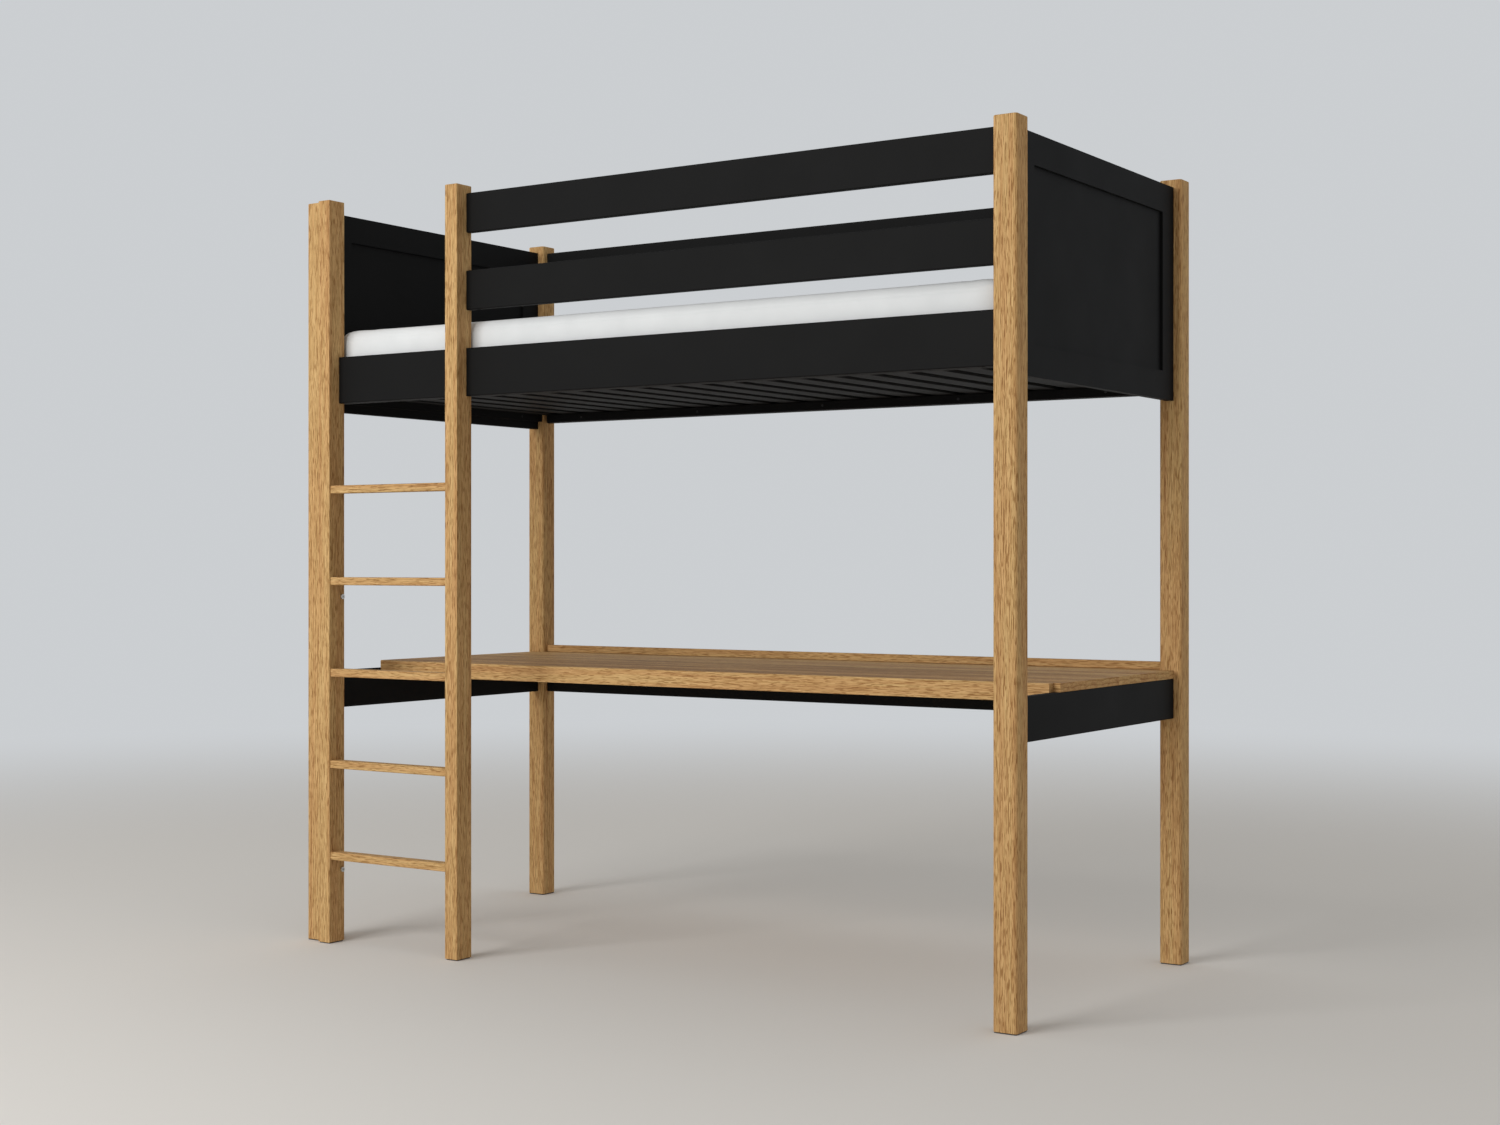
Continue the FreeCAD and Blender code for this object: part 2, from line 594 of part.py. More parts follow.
# ---------------------------------------------------------------------------------------
# Desk
# ---------------------------------------------------------------------------------------
DESK_LEFT = f"({LEFT} + panel_inset)"
DESK_LENGTH = "(bed_length - 2 * panel_inset)"
BOARD_FRONT = f"({DESK_FRONT} + lipping_thick)"
BOARD_DEPTH = "(desk_depth - lipping_thick + rail_thick)"
block("desk_top", (DESK_LENGTH, BOARD_DEPTH, "desk_thick"), (DESK_LEFT, BOARD_FRONT, DESK_SEAT))
NOTCH = "post_side + fit_gap"
cut("desk_top", "+Z", "desk_thick + 1", rectangles=[
    (LEFT, f"{POST_BACK} - fit_gap", NOTCH, NOTCH),
    (f"{POST_RIGHT} - fit_gap", f"{POST_BACK} - fit_gap", NOTCH, NOTCH),
])
LIPPING_BOTTOM = "(desk_height - lipping_height)"
block("desk_lipping", (BAY_LENGTH, "lipping_thick", "lipping_height"),
      (BAY_LEFT, DESK_FRONT, LIPPING_BOTTOM))
block("desk_upstand", (SPAN_X, "rail_thick", "upstand_height"), (POST_LEFT, RAIL_BACK, "desk_height"))
for label in ("desk_lipping", "desk_upstand"):
    ease(label, "x", "end_ease")

# ---------------------------------------------------------------------------------------
# Glides
# ---------------------------------------------------------------------------------------
PIN_HOLE = "glide_pin_radius + drill_gap"


def glide(name, width, depth):
    """Make a pad with a pin, its low corner at its own origin."""
    pad = doc.addObject("Part::Box", f"{name}_pad")
    bind(pad, "Length", width)
    bind(pad, "Width", depth)
    bind(pad, "Height", "glide_height")
    pin = cylinder(f"{name}_pin", "glide_pin_radius", "glide_height + glide_pin_length")
    bind(pin, "Placement.Base.x", f"({width}) / 2")
    bind(pin, "Placement.Base.y", f"({depth}) / 2")
    return boolean("Fuse", name, pad, pin)


post_glide = glide("post_glide", "post_side - 2 * glide_inset", "post_side - 2 * glide_inset")
stile_glide = glide("stile_glide", "stile_width - 2 * glide_inset", f"{STILE_DEPTH} - 2 * glide_inset")
LEGS = {
    "post_glides": (post_glide, [(x, y, "post_side", label) for label, (x, y) in POST_CORNERS.items()]),
    "ladder_glides": (stile_glide, [
        (POST_LEFT, STILE_FRONT, STILE_DEPTH, "ladder_stile_left"),
        (STILE_RIGHT, STILE_FRONT, STILE_DEPTH, "ladder_stile_right"),
    ]),
}
for node, (master, legs) in LEGS.items():
    width = "post_side" if node == "post_glides" else "stile_width"
    spots = []
    for x, y, depth, label in legs:
        spots.append(((f"{x} + glide_inset", f"{y} + glide_inset", "0"), FreeCAD.Rotation()))
        pin_hole = (f"{x} + {width} / 2", f"{y} + {depth} / 2", PIN_HOLE)
        cut(label, "-Z", "glide_pin_length + drill_over", circles=[pin_hole])
    group(node, master, spots)

# ---------------------------------------------------------------------------------------
# Rail joints: each rail end is held to its post by a stud, a barrel nut and dowels
# ---------------------------------------------------------------------------------------
stud_spots = []
nut_spots = []
dowel_spots = []
holes = {}


def bore(label, face, depth, u, v, radius):
    """Note a bore, so that all bores of one face and depth share one sketch."""
    holes.setdefault((label, face, depth), []).append((u, v, radius))


def shifted(face, distance):
    """Formula for a step along the way a face points."""
    return f"+ ({distance})" if face[0] == "+" else f"- ({distance})"


def rail_joint(post, rail, face, joint, middle, studs, dowels):
    """Join a rail's end to a post.

    face is the post's face that the rail meets; joint is its coordinate; middle is the rail's
    mid-plane across its thickness.  studs are (height, face of the rail that takes the nut);
    dowels are heights.
    """
    along_x = face[1] == "X"
    rail_end = FLIP[face]
    stud_hole = "stud_radius + drill_gap"
    for height, nut_face in studs:
        bore(post, face, "stud_bite + drill_over", middle, height, stud_hole)
        bore(rail, rail_end, "stud_reach + drill_over", middle, height, stud_hole)
        start = f"{joint} {shifted(rail_end, 'stud_bite')}"
        nut_at = f"({joint} {shifted(face, 'nut_back')})"
        nut_edge = f"{height} + nut_length / 2" if nut_face == "-Z" else f"{height} - nut_length / 2"
        edge = f"({pieces[rail]['corner'][2]})"
        if nut_face == "+Z":
            edge = f"({edge} + {pieces[rail]['size'][2]})"
            nut_depth = f"{edge} - ({nut_edge}) + drill_gap"
        else:
            nut_depth = f"({nut_edge}) - {edge} + drill_gap"
        nut_u, nut_v = (nut_at, middle) if along_x else (middle, nut_at)
        bore(rail, nut_face, nut_depth, nut_u, nut_v, "nut_radius + drill_gap")
        nut_low = f"{height} - nut_length / 2"
        if along_x:
            stud_spots.append(((start, middle, height), TURN[face]))
            nut_spots.append(((nut_at, middle, nut_low), FreeCAD.Rotation()))
        else:
            stud_spots.append(((middle, start, height), TURN[face]))
            nut_spots.append(((middle, nut_at, nut_low), FreeCAD.Rotation(Z_AXIS, 90)))
    for height in dowels:
        start = f"{joint} {shifted(rail_end, 'dowel_bite')}"
        for label, side in ((post, face), (rail, rail_end)):
            bore(label, side, "dowel_bite + drill_over", middle, height, "dowel_radius + drill_gap")
        corner = (start, middle, height) if along_x else (middle, start, height)
        dowel_spots.append((corner, TURN[face]))


def rail_heights(bottom, height):
    """One stud low in the rail and two dowels above it."""
    stud = f"({bottom} + nut_rise)"
    top = f"({bottom} + {height} - dowel_margin)"
    return [(stud, "-Z")], [top, f"(({stud} + {top}) / 2)"]


for label, (x, y, bottom, length, height) in RAILS.items():
    row = "front" if y == RAIL_FRONT else "back"
    middle = RAIL_MID_FRONT if row == "front" else RAIL_MID_BACK
    studs, dowels = rail_heights(bottom, height)
    if x == GUARD_START:
        rail_joint("ladder_stile_right", label, "+X", GUARD_START, middle, studs, dowels)
    else:
        rail_joint(f"post_{row}_left", label, "+X", POST_LEFT, middle, studs, dowels)
    rail_joint(f"post_{row}_right", label, "-X", POST_RIGHT, middle, studs, dowels)

for side, middle in (("left", PANEL_MID_LEFT), ("right", PANEL_MID_RIGHT)):
    studs, dowels = rail_heights(DESK_RAIL, "desk_rail_height")
    low = f"({PANEL_BOTTOM} + nut_rise)"
    high = f"({GUARD_TOP} - nut_rise)"
    panel_studs = [(low, "-Z"), (high, "+Z")]
    panel_dowels = [f"({low} + ({high} - {low}) * {share} / 3)" for share in (1, 2)]
    for end, face, joint in (("front", "+Y", POST_FRONT), ("back", "-Y", POST_BACK)):
        post = f"post_{end}_{side}"
        rail_joint(post, f"desk_rail_{side}", face, joint, middle, studs, dowels)
        rail_joint(post, f"{side}_panel_stile_{end}", face, joint, middle, panel_studs, panel_dowels)

stud_master = cylinder("stud", "stud_radius", "stud_bite + stud_reach")
nut_body = cylinder("nut_body", "nut_radius", "nut_length")
nut_hole = cylinder("nut_hole", "stud_radius + drill_gap", "4 * nut_radius")
nut_hole.Placement = FreeCAD.Placement(FreeCAD.Vector(), TURN["+X"])
bind(nut_hole, "Placement.Base.x", "0 - 2 * nut_radius")
bind(nut_hole, "Placement.Base.z", "nut_length / 2")
nut_master = boolean("Cut", "barrel_nut", nut_body, nut_hole)
dowel_master = cylinder("rail_dowel", "dowel_radius", "2 * dowel_bite")
group("connector_studs", stud_master, stud_spots)
group("barrel_nuts", nut_master, nut_spots)
group("rail_dowels", dowel_master, dowel_spots)

# ---------------------------------------------------------------------------------------
# Ladder bolts, through the left stile into threaded inserts in the post
# ---------------------------------------------------------------------------------------
BOLT_Y = f"({FRONT} + post_side / 2)"
BOLT_FACE = f"({POST_LEFT} + stile_width)"
insert_spots = []
bolt_spots = []
for height in ("ladder_bolt_low", "ladder_bolt_high"):
    bore("ladder_stile_left", "+X", "stile_width + 1", BOLT_Y, height, "ladder_bolt_radius + drill_gap")
    bore("post_front_left", "+X", "insert_length + drill_over", BOLT_Y, height, "insert_radius + drill_gap")
    insert_spots.append(((POST_LEFT, BOLT_Y, height), TURN["-X"]))
    bolt_spots.append(((BOLT_FACE, BOLT_Y, height), TURN["-X"]))

sleeve = cylinder("insert_sleeve", "insert_radius", "insert_length")
sleeve_hole = cylinder("insert_hole", "ladder_bolt_radius + drill_gap", "insert_length + 2", "0 - 1")
insert_master = boolean("Cut", "threaded_insert", sleeve, sleeve_hole)
bolt_shank = cylinder("bolt_shank", "ladder_bolt_radius", "stile_width + insert_length")
bolt_head = cylinder("bolt_head", "bolt_head_radius", "bolt_head_height", "0 - bolt_head_height")
bolt_blank = boolean("Fuse", "bolt_blank", bolt_shank, bolt_head)
socket = doc.addObject("Part::Prism", "bolt_socket")
socket.Polygon = 6
bind(socket, "Circumradius", "bolt_socket_radius")
bind(socket, "Height", "bolt_socket_depth")
bind(socket, "Placement.Base.z", "0 - bolt_head_height")
bolt_master = boolean("Cut", "ladder_bolt", bolt_blank, socket)
group("ladder_bolts", bolt_master, bolt_spots)
group("ladder_bolt_inserts", insert_master, insert_spots)

# ---------------------------------------------------------------------------------------
# Wood screws
# ---------------------------------------------------------------------------------------


def screw(name, length):
    """Make a screw whose head's face is at its own origin and whose point is along +Z."""
    head = cylinder(f"{name}_head", "screw_head_radius", "screw_head_height")
    shank = cylinder(f"{name}_shank", "screw_radius", f"{length} - screw_tip")
    tip = doc.addObject("Part::Cone", f"{name}_tip")
    bind(tip, "Radius1", "screw_radius")
    bind(tip, "Radius2", "0")
    bind(tip, "Height", "screw_tip")
    bind(tip, "Placement.Base.z", f"{length} - screw_tip")
    item = doc.addObject("Part::MultiFuse", name)
    item.Shapes = [head, shank, tip]
    return item


def screw_joint(near, far, face, near_depth, length, u, v):
    """Bore two pieces for a screw: near takes the head in its face, far takes the point."""
    bore(near, face, f"{near_depth} + 1", u, v, SHANK)
    bore(near, face, "screw_head_height", u, v, HEAD)
    bore(far, face, f"{length} - {near_depth} + drill_over", u, v, SHANK)


slat_spots = []
for index in range(slats):
    for (x, y), ledger in zip(slat_screws(index), ("slat_ledger_front", "slat_ledger_back")):
        bore(ledger, "+Z", "slat_screw_length - slat_thick + drill_over", x, y, SHANK)
        slat_spots.append(((x, y, f"{SLAT_SEAT} + slat_thick"), TURN["-Z"]))
group("slat_screws", screw("slat_screw", "slat_screw_length"), slat_spots)

LEDGER_MID = f"({SIDE_RAIL} + ledger_height / 2)"
ledger_spots = []
for step in (-2, -1, 0, 1, 2):
    x = f"({step} * ledger_screw_step * {SLAT_PITCH})"
    for rail, ledger, face, y in (
        ("side_rail_front", "slat_ledger_front", "+Y", f"{BAY_FRONT} + ledger_depth"),
        ("side_rail_back", "slat_ledger_back", "-Y", LEDGER_BACK),
    ):
        screw_joint(ledger, rail, face, "ledger_depth", "ledger_screw_length", x, LEDGER_MID)
        ledger_spots.append(((x, y, LEDGER_MID), TURN[FLIP[face]]))
group("ledger_screws", screw("ledger_screw", "ledger_screw_length"), ledger_spots)

CLEAT_MID = f"({CLEAT_BOTTOM} + cleat_height / 2)"
cleat_spots = []
for step in (-1, 0, 1):
    y = f"(({FRONT} + {BACK}) / 2 + {step} * ({OPEN_WIDTH} / 2 - cleat_screw_margin))"
    for side, face, x in (("left", "+X", f"{BAY_LEFT} + cleat_depth"),
                          ("right", "-X", f"{BAY_RIGHT} - cleat_depth")):
        frame = f"{side}_panel_bottom_rail"
        screw_joint(f"slat_cleat_{side}", frame, face, "cleat_depth", "cleat_screw_length", y, CLEAT_MID)
        cleat_spots.append(((x, y, CLEAT_MID), TURN[FLIP[face]]))
group("cleat_screws", screw("cleat_screw", "cleat_screw_length"), cleat_spots)

stile_spots = []
for label, x in (("ladder_stile_left", POST_LEFT), ("ladder_stile_right", STILE_RIGHT)):
    for sign in ("+", "-"):
        u = f"({x} + stile_width / 2)"
        v = f"({SIDE_RAIL} + side_rail_height / 2 + ledger_height / 2 {sign} stile_screw_spread)"
        bore("side_rail_front", "+Y", "rail_thick + 1", u, v, SHANK)
        bore("side_rail_front", "+Y", "screw_head_height", u, v, HEAD)
        bore(label, "+Y", "stile_screw_length + drill_over", u, v, SHANK)
        stile_spots.append(((u, BAY_FRONT, v), TURN["-Y"]))
group("stile_screws", screw("stile_screw", "stile_screw_length"), stile_spots)

# ---------------------------------------------------------------------------------------
# Desk dowels
# ---------------------------------------------------------------------------------------
desk_dowel_spots = []
DOWEL_HOLE = "dowel_radius + drill_gap"


def desk_dowel(first, first_face, second, second_face, corner, u, v):
    """Bore two pieces for a short dowel; corner is where it starts, inside the first piece."""
    bore(first, first_face, "desk_dowel_bite + drill_gap", u, v, DOWEL_HOLE)
    bore(second, second_face, "desk_dowel_bite + drill_gap", u, v, DOWEL_HOLE)
    desk_dowel_spots.append((corner, TURN[first_face]))


LOW = f"({DESK_SEAT} - desk_dowel_bite)"
BOARD_BACK = f"({POST_BACK} - desk_dowel_margin)"
for side, x in (("left", PANEL_MID_LEFT), ("right", PANEL_MID_RIGHT)):
    for share in (0, 1, 2):
        y = (f"({BOARD_FRONT} + desk_dowel_margin "
             f"+ ({BOARD_BACK} - {BOARD_FRONT} - desk_dowel_margin) * {share} / 2)")
        desk_dowel(f"desk_rail_{side}", "+Z", "desk_top", "-Z", (x, y, LOW), x, y)

EDGE_SPAN = f"({SPAN_X} - 2 * desk_dowel_margin)"
edge_places = [f"(({share} / 6 - 1 / 2) * {EDGE_SPAN})" for share in range(7)]
for x in edge_places:
    desk_dowel("desk_rail_back", "+Z", "desk_top", "-Z", (x, RAIL_MID_BACK, LOW), x, RAIL_MID_BACK)
    z = f"({DESK_SEAT} + desk_thick / 2)"
    corner = (x, f"{BOARD_FRONT} - desk_dowel_bite", z)
    desk_dowel("desk_lipping", "+Y", "desk_top", "-Y", corner, x, z)
group("desk_dowels", cylinder("desk_dowel", "dowel_radius", "2 * desk_dowel_bite"), desk_dowel_spots)

upstand_spots = []
for x in edge_places[:-1]:
    u = f"({x} + upstand_dowel_shift)"
    for label, face in (("desk_top", "+Z"), ("desk_upstand", "-Z")):
        bore(label, face, "upstand_dowel_bite + drill_gap", u, RAIL_MID_BACK,
             "upstand_dowel_radius + drill_gap")
    upstand_spots.append(((u, RAIL_MID_BACK, "desk_height - upstand_dowel_bite"), FreeCAD.Rotation()))
upstand_dowel = cylinder("upstand_dowel", "upstand_dowel_radius", "2 * upstand_dowel_bite")
group("upstand_dowels", upstand_dowel, upstand_spots)

# The lipping's ends are held to the desk's end rails below the board.
lip_z = f"(({DESK_SEAT} + {LIPPING_BOTTOM}) / 2)"
lip_y = f"({DESK_FRONT} + lipping_thick / 2)"
lip_spots = []
for side, face, x in (("left", "+X", BAY_LEFT), ("right", "-X", BAY_RIGHT)):
    for label, way in ((f"desk_rail_{side}", face), ("desk_lipping", FLIP[face])):
        bore(label, way, "upstand_dowel_bite + drill_gap", lip_y, lip_z, "upstand_dowel_radius + drill_gap")
    start = f"{x} {shifted(FLIP[face], 'upstand_dowel_bite')}"
    lip_spots.append(((start, lip_y, lip_z), TURN[face]))
group("lipping_dowels", upstand_dowel, lip_spots)

for (label, face, depth), circles in holes.items():
    cut(label, face, depth, circles=circles)

# ---------------------------------------------------------------------------------------
# Check and write
# ---------------------------------------------------------------------------------------
doc.removeObject(probe.Name)
doc.recompute()
faults = [item.Label for item in doc.Objects if "Invalid" in item.State or "Error" in item.State]
for label, piece in pieces.items():
    shape = piece["body"].Shape
    if shape.isNull() or not shape.isValid() or not shape.Solids:
        faults.append(label)
if faults:
    raise RuntimeError("faulty objects: " + ", ".join(faults))

os.makedirs("parts", exist_ok=True)
for label, piece in pieces.items():
    piece["body"].Shape.exportStep(f"parts/{label}.step")
box = FreeCAD.BoundBox()
for piece in pieces.values():
    box.add(piece["body"].Shape.BoundBox)
print(f"{len(pieces)} nodes, {sum(len(p['body'].Shape.Solids) for p in pieces.values())} solids")
print(f"overall {box.XLength:.1f} x {box.YLength:.1f} x {box.ZLength:.1f} mm")
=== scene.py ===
# %% [markdown]
# # A loft bed with a desk underneath
#
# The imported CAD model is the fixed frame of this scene.  This script gives every CAD node its
# finish, replaces the CAD block of the mattress with a soft one, and adds the floor, the lights
# and the camera.  Lengths are in metres; +X runs along the bed, +Y to the back, +Z up.

import json
import math

import bmesh
import bpy
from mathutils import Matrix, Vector


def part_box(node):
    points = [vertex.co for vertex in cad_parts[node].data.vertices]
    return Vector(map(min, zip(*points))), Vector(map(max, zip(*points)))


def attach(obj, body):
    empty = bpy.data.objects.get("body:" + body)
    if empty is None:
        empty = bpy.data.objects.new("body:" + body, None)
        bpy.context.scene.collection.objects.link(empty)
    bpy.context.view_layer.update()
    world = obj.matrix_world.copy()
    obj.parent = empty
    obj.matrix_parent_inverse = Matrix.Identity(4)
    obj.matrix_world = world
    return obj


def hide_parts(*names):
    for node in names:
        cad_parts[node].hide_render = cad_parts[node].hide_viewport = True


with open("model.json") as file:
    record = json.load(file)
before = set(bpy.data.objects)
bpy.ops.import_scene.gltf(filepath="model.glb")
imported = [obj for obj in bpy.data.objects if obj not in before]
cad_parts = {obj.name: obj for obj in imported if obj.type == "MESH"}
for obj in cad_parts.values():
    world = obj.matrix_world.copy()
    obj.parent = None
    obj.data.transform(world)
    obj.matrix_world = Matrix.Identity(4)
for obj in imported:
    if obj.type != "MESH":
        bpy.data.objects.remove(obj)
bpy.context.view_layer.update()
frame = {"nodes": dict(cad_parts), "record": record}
nodes = frame["nodes"]

# %% [markdown]
# ## Node-tree helpers
#
# Materials here are procedural.  `add` makes a node and sets its input sockets by name, and
# `wire` joins two sockets, so that each recipe below reads as a short list of steps.

# %%
def add(tree, kind, settings=None, **sockets):
    """Add a node; settings are its properties and sockets its input values (spaces as _)."""
    made = tree.nodes.new(kind)
    for name, setting in (settings or {}).items():
        setattr(made, name, setting)
    for name, value in sockets.items():
        made.inputs[name.replace("_", " ")].default_value = value
    return made


def wire(tree, source, output, target, socket):
    """Join an output socket to an input socket."""
    tree.links.new(source.outputs[output], target.inputs[socket])


def math_node(tree, operation, first, second=0.5, third=0.5):
    """Add a Math node; each operand is a number or a (node, output) pair."""
    made = tree.nodes.new("ShaderNodeMath")
    made.operation = operation
    for index, operand in enumerate((first, second, third)):
        if isinstance(operand, tuple):
            wire(tree, operand[0], operand[1], made, index)
        else:
            made.inputs[index].default_value = operand
    return made


def ramp(tree, source, output, stops):
    """Add a colour ramp with (position, colour) stops."""
    made = tree.nodes.new("ShaderNodeValToRGB")
    stretch = made.color_ramp.elements
    while len(stretch) < len(stops):
        stretch.new(0.5)
    for element, (position, colour) in zip(stretch, stops):
        element.position = position
        element.color = colour
    wire(tree, source, output, made, "Fac")
    return made


def blend_colour(tree, kind, amount, first, second):
    """Mix two colours; each is an RGBA value or a (node, output) pair, amount may be either too."""
    made = tree.nodes.new("ShaderNodeMix")
    made.data_type = "RGBA"
    made.blend_type = kind
    for socket, operand in (("Factor", amount), ("A", first), ("B", second)):
        slot = {"Factor": 0, "A": 6, "B": 7}[socket]
        if isinstance(operand, tuple) and isinstance(operand[0], bpy.types.Node):
            wire(tree, operand[0], operand[1], made, slot)
        else:
            made.inputs[slot].default_value = operand
    return made


def new_group(name, inputs, outputs):
    """Make an empty node group with typed sockets; each is (name, socket type, default)."""
    group = bpy.data.node_groups.new(name, "ShaderNodeTree")
    for way, sockets in (("INPUT", inputs), ("OUTPUT", outputs)):
        for label, kind, default in sockets:
            socket = group.interface.new_socket(label, in_out=way, socket_type=kind)
            if default is not None:
                socket.default_value = default
    return group, group.nodes.new("NodeGroupInput"), group.nodes.new("NodeGroupOutput")


def new_material(name):
    """Make a material and return it with its tree and its Principled shader."""
    material = bpy.data.materials.new(name)
    material.use_nodes = True
    return material, material.node_tree, material.node_tree.nodes["Principled BSDF"]


# %% [markdown]
# ## Oak
#
# Oak is modelled as a solid, as if each piece were sawn from a log.  The growth rings are
# cylinders round a distant pith that runs along local Z, so faces along the grain show fine
# straight lines and the ends show arcs.  Open pores are short dark dashes along the grain, and
# they crowd in the early wood of every ring.  One node group holds all of it, and every piece
# gives the group its own place in the log.

# %%
VECTOR, FLOAT, COLOUR = "NodeSocketVector", "NodeSocketFloat", "NodeSocketColor"
oak, oak_in, oak_out = new_group(
    "oak_grain",
    [("Vector", VECTOR, None), ("Rings", FLOAT, 300.0), ("Ring Contrast", FLOAT, 0.26), ("Tone", FLOAT, 0.5)],
    [("Color", COLOUR, None), ("Roughness", FLOAT, None), ("Height", FLOAT, None)],
)


def stretched_noise(tree, source, output, along, scale, detail, roughness=0.5):
    """Noise drawn out along local Z: along is the share of the scale that is left there."""
    mapping = add(tree, "ShaderNodeMapping", Scale=(1.0, 1.0, along))
    wire(tree, source, output, mapping, "Vector")
    noise = add(tree, "ShaderNodeTexNoise", Scale=scale, Detail=detail, Roughness=roughness)
    wire(tree, mapping, "Vector", noise, "Vector")
    return noise


# %% [markdown]
# The grain wanders slowly sideways along the board.  Every later pattern reads the wandered
# coordinates, so that rings, fibres and pores bend together.

# %%
wander = stretched_noise(oak, oak_in, "Vector", 0.10, 14.0, 3.0)
wander_off = add(oak, "ShaderNodeVectorMath", {"operation": "SUBTRACT"})
wander_off.inputs[1].default_value = (0.5, 0.5, 0.5)
wire(oak, wander, "Color", wander_off, 0)
wander_small = add(oak, "ShaderNodeVectorMath", {"operation": "SCALE"}, Scale=0.016)
wire(oak, wander_off, "Vector", wander_small, 0)
wandered = add(oak, "ShaderNodeVectorMath", {"operation": "ADD"})
wire(oak, oak_in, "Vector", wandered, 0)
wire(oak, wander_small, "Vector", wandered, 1)

# %% [markdown]
# The rings are a saw-tooth of the distance from the pith: a soft start, where the early wood is
# open and dark, and a sharp end.

# %%
flat = add(oak, "ShaderNodeVectorMath", {"operation": "MULTIPLY"})
flat.inputs[1].default_value = (1.0, 1.0, 0.004)
wire(oak, wandered, "Vector", flat, 0)
radius = add(oak, "ShaderNodeVectorMath", {"operation": "LENGTH"})
wire(oak, flat, "Vector", radius, 0)
ring_count = math_node(oak, "MULTIPLY", (radius, "Value"), (oak_in, "Rings"))
ring = math_node(oak, "FRACT", (ring_count, 0))
early = ramp(oak, ring, 0, [(0.0, (1, 1, 1, 1)), (0.32, (0.25, 0.25, 0.25, 1)),
                            (0.9, (0, 0, 0, 1)), (1.0, (1, 1, 1, 1))])
print("oak: rings")

# %% [markdown]
# Three sizes of streak run along the grain: broad bands 14 mm wide, streaks of 4 mm and fibres
# under 2 mm.  The pores are the darkest parts of one more noise, about 1 mm wide and 20 mm long.

# %%
bands = stretched_noise(oak, wandered, "Vector", 0.02, 70.0, 4.0, 0.65)
streaks = stretched_noise(oak, wandered, "Vector", 0.030, 330.0, 2.0, 0.55)
fibres = stretched_noise(oak, wandered, "Vector", 0.012, 620.0, 2.0, 0.6)
pores = stretched_noise(oak, wandered, "Vector", 0.065, 620.0, 1.0, 0.4)
pore_level = math_node(oak, "MULTIPLY_ADD", (early, "Color"), 0.07, (pores, "Fac"))
pore_mask = ramp(oak, pore_level, 0, [(0.560, (0, 0, 0, 1)), (0.625, (1, 1, 1, 1))])

toned_bands = math_node(oak, "ADD", (bands, "Fac"), (oak_in, "Tone"))
base_level = math_node(oak, "SUBTRACT", (toned_bands, 0), 0.5)
base = ramp(oak, base_level, 0, [(0.30, (0.520, 0.300, 0.128, 1)), (0.46, (0.650, 0.410, 0.185, 1)),
                                 (0.58, (0.650, 0.438, 0.198, 1)), (0.72, (0.730, 0.505, 0.245, 1))])
streaked = ramp(oak, streaks, "Fac", [(0.36, (0.78, 0.72, 0.64, 1)), (0.60, (1, 1, 1, 1))])
first_tone = blend_colour(oak, "MULTIPLY", 0.85, (base, "Color"), (streaked, "Color"))
warm = ramp(oak, fibres, "Fac", [(0.32, (0.74, 0.66, 0.56, 1)), (0.55, (1, 1, 1, 1))])
toned = blend_colour(oak, "MULTIPLY", 0.7, (first_tone, 2), (warm, "Color"))
early_amount = math_node(oak, "MULTIPLY", (early, "Color"), (oak_in, "Ring Contrast"))
ringed = blend_colour(oak, "MULTIPLY", (early_amount, 0), (toned, 2), (0.50, 0.38, 0.26, 1))
pore_amount = math_node(oak, "MULTIPLY", (pore_mask, "Color"), 0.72)
final = blend_colour(oak, "MULTIPLY", (pore_amount, 0), (ringed, 2), (0.42, 0.30, 0.18, 1))
wire(oak, final, 2, oak_out, "Color")
print("oak: streaks and pores")

# %% [markdown]
# The pores are slightly sunk and the fibres stand a little proud, under a matt oil.

# %%
rough = math_node(oak, "MULTIPLY_ADD", (fibres, "Fac"), 0.14, 0.58)
wire(oak, rough, 0, oak_out, "Roughness")
pore_depth = math_node(oak, "MULTIPLY", (pore_mask, "Color"), -0.8)
height = math_node(oak, "MULTIPLY_ADD", (fibres, "Fac"), 0.25, (pore_depth, 0))
wire(oak, height, 0, oak_out, "Height")


# %% [markdown]
# A wide board is glued up from staves.  This group cuts the coordinates into strips, gives each
# strip its own shift in the log and its own tone, and passes them on to the grain.

# %%
staves, staves_in, staves_out = new_group(
    "glued_staves",
    [("Vector", VECTOR, None), ("Width", FLOAT, 0.06)],
    [("Vector", VECTOR, None), ("Tone", FLOAT, None)],
)
apart = add(staves, "ShaderNodeSeparateXYZ")
wire(staves, staves_in, "Vector", apart, 0)
stave_place = math_node(staves, "DIVIDE", (apart, "Y"), (staves_in, "Width"))
stave_number = math_node(staves, "FLOOR", (stave_place, 0))
stave_random = add(staves, "ShaderNodeTexWhiteNoise", {"noise_dimensions": "1D"})
wire(staves, stave_number, 0, stave_random, "W")
inside = math_node(staves, "FRACT", (stave_place, 0))
from_middle = math_node(staves, "SUBTRACT", (inside, 0), 0.5)
across = math_node(staves, "MULTIPLY", (from_middle, 0), (staves_in, "Width"))
shift = add(staves, "ShaderNodeVectorMath", {"operation": "MULTIPLY_ADD"})
shift.inputs[1].default_value = (0.08, 0.10, 4.0)
shift.inputs[2].default_value = (0.0, -0.05, 0.0)
wire(staves, stave_random, "Color", shift, 0)
strip = add(staves, "ShaderNodeCombineXYZ")
wire(staves, apart, "X", strip, "X")
wire(staves, across, 0, strip, "Y")
wire(staves, apart, "Z", strip, "Z")
moved = add(staves, "ShaderNodeVectorMath", {"operation": "ADD"})
wire(staves, strip, "Vector", moved, 0)
wire(staves, shift, "Vector", moved, 1)
wire(staves, moved, "Vector", staves_out, "Vector")
